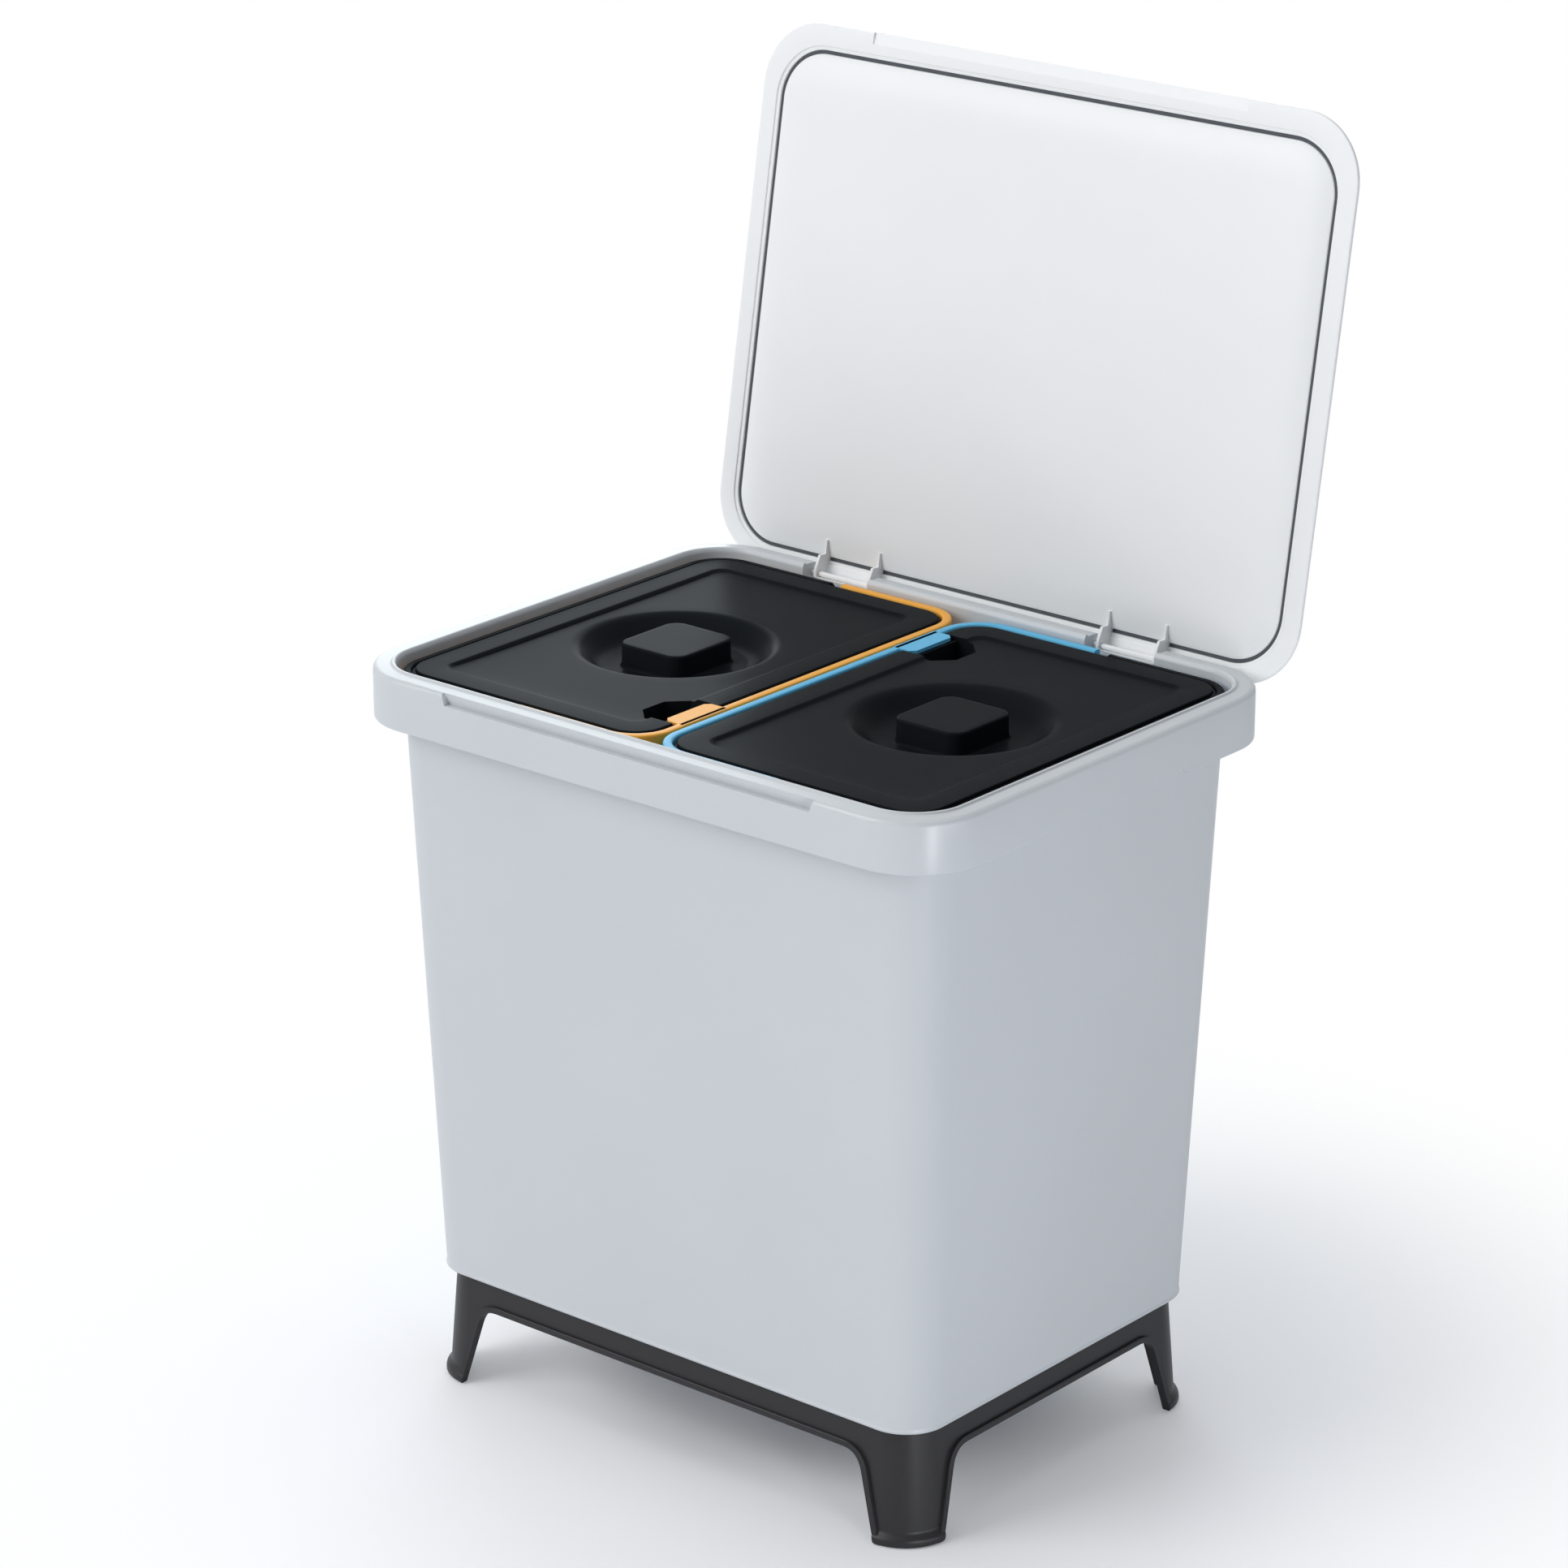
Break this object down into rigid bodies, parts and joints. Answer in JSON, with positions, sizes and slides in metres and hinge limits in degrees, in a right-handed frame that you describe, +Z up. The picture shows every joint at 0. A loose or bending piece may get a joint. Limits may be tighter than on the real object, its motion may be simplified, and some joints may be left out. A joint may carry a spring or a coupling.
{
  "type": "double recycling bin",
  "caption": "Floor-standing recycling bin: tapered tub on a legged stand, hinged lid, and lift-out buckets side by side, each with a folding bail and a loose inner lid with a sunken knob.",
  "frame": {"origin": "on the floor under the middle of the bounding box, with the lid open", "axes": "+Z up, +Y from the front to the hinges at the back, +X to the right as seen from the front"},
  "size_m": [0.403, 0.36, 0.7091],
  "materials": {
    "tub": "satin grain",
    "stand": "satin",
    "main_lid": "satin",
    "bucket_yellow": "satin",
    "bucket_blue": "satin",
    "black_plastic": "satin"
  },
  "bodies": {
    "body": {"outer_bin": "tub", "leg_stand": "stand", "hinge_pin_left": "main_lid", "hinge_pin_right": "main_lid"},
    "main_lid": {"lid": "main_lid"},
    "bucket_left": {"bucket_left": "bucket_yellow"},
    "bucket_right": {"bucket_right": "bucket_blue"},
    "bail_left": {"bail_left": "black_plastic"},
    "bail_right": {"bail_right": "black_plastic"},
    "inner_lid_left": {"inner_lid_left": "black_plastic"},
    "inner_lid_right": {"inner_lid_right": "black_plastic"}
  },
  "joints": [
    {"name": "main_lid_hinge", "type": "hinge", "parent": "body", "child": "main_lid", "pos_m": [0, 0.11969, 0.41155], "axis": [-1, 0, 0], "range_deg": [-99.73, 0]},
    {"name": "bucket_left_lift", "type": "slide", "parent": "body", "child": "bucket_left", "axis": [0, 0, 1], "range_m": [0, 0.36]},
    {"name": "bucket_right_lift", "type": "slide", "parent": "body", "child": "bucket_right", "axis": [0, 0, 1], "range_m": [0, 0.36]},
    {"name": "bail_left_hinge", "type": "hinge", "parent": "bucket_left", "child": "bail_left", "pos_m": [-0.09508, -0.02816, 0.4076], "axis": [0, 1, 0], "range_deg": [0, 90]},
    {"name": "bail_right_hinge", "type": "hinge", "parent": "bucket_right", "child": "bail_right", "pos_m": [0.09508, -0.02816, 0.4076], "axis": [0, -1, 0], "range_deg": [0, 90]},
    {"name": "inner_lid_left_lift", "type": "slide", "parent": "bucket_left", "child": "inner_lid_left", "axis": [0, 0, 1], "range_m": [0, 0.15]},
    {"name": "inner_lid_right_lift", "type": "slide", "parent": "bucket_right", "child": "inner_lid_right", "axis": [0, 0, 1], "range_m": [0, 0.15]}
  ]
}
